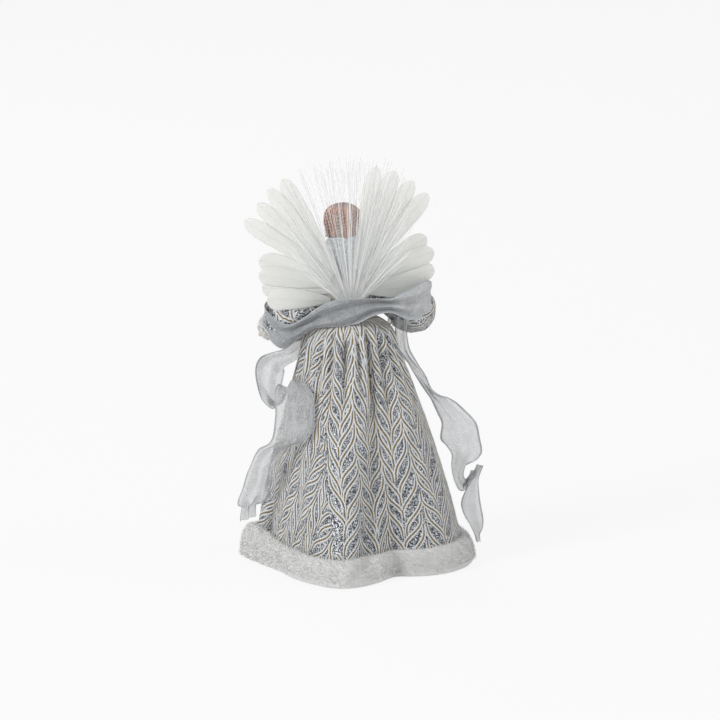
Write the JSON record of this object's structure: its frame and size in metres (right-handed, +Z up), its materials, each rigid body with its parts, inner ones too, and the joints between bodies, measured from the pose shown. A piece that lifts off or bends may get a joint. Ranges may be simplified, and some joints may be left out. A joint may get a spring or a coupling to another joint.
{
  "type": "fibre optic angel",
  "caption": "Tabletop holiday angel: brocade gown with plush hem, feather wings, draped organza ribbon and a fan of optic fibres lit from its battery base.",
  "frame": {"origin": "middle of the round base's underside, on the plane that the figure stands on", "axes": "+Z up; the figure faces -Y; +X is the side of its left wing in the picture, seen from behind"},
  "size_m": [0.1854, 0.152, 0.2909],
  "materials": {
    "moulded": "satin",
    "board": "satin",
    "lens": "gloss",
    "cell": "gloss",
    "steel": "satin",
    "card": "matte",
    "fibre": "gloss",
    "brocade": "woven with gold lines and glitter",
    "plush": "short pile",
    "skin": "satin",
    "hair": "crimped fibre",
    "glitter": "glitter",
    "feather": "matte",
    "organza": "sheer"
  },
  "bodies": {
    "angel": {"arm_left": "skin", "arm_right": "skin", "arm_wire_left": "steel", "arm_wire_right": "steel", "base_housing": "moulded", "base_plate": "moulded", "base_screw_1": "steel", "base_screw_2": "steel", "base_screw_3": "steel", "battery_cell_1": "cell", "battery_cell_2": "cell", "bodice": "brocade", "collar": "glitter", "cone_former": "card", "contact_bridge": "steel", "contact_plate_1": "steel", "contact_plate_2": "steel", "contact_spring_1": "steel", "contact_spring_2": "steel", "cuff_left": "plush", "cuff_right": "plush", "feather_lower_left_1": "feather", "feather_lower_left_2": "feather", "feather_lower_left_3": "feather", "feather_lower_left_4": "feather", "feather_lower_right_1": "feather", "feather_lower_right_2": "feather", "feather_lower_right_3": "feather", "feather_lower_right_4": "feather", "feather_upper_left_1": "feather", "feather_upper_left_2": "feather", "feather_upper_left_3": "feather", "feather_upper_left_4": "feather", "feather_upper_right_1": "feather", "feather_upper_right_2": "feather", "feather_upper_right_3": "feather", "feather_upper_right_4": "feather", "fibre_bundle": "fibre", "fibre_ferrule": "steel", "fibre_spray": "fibre", "hair": "hair", "head": "skin", "hem_fur": "plush", "lamp": "lens", "lead_wire_1": "moulded", "lead_wire_2": "moulded", "light_board": "board", "light_tube": "moulded", "ribbon": "organza", "skirt": "brocade", "sleeve_left": "brocade", "sleeve_right": "brocade", "switch_body": "steel", "torso": "moulded", "wing_card": "card"},
    "cover": {"battery_cover": "moulded"},
    "switch": {"switch_slider": "moulded"}
  },
  "joints": [
    {"name": "battery_cover_hinge", "type": "hinge", "parent": "angel", "child": "cover", "pos_m": [0, -0.0302, 0.0014], "axis": [-1, 0, 0], "range_deg": [0, 100]},
    {"name": "switch_slide", "type": "slide", "parent": "angel", "child": "switch", "axis": [1, 0, 0], "range_m": [0, 0.003]}
  ]
}
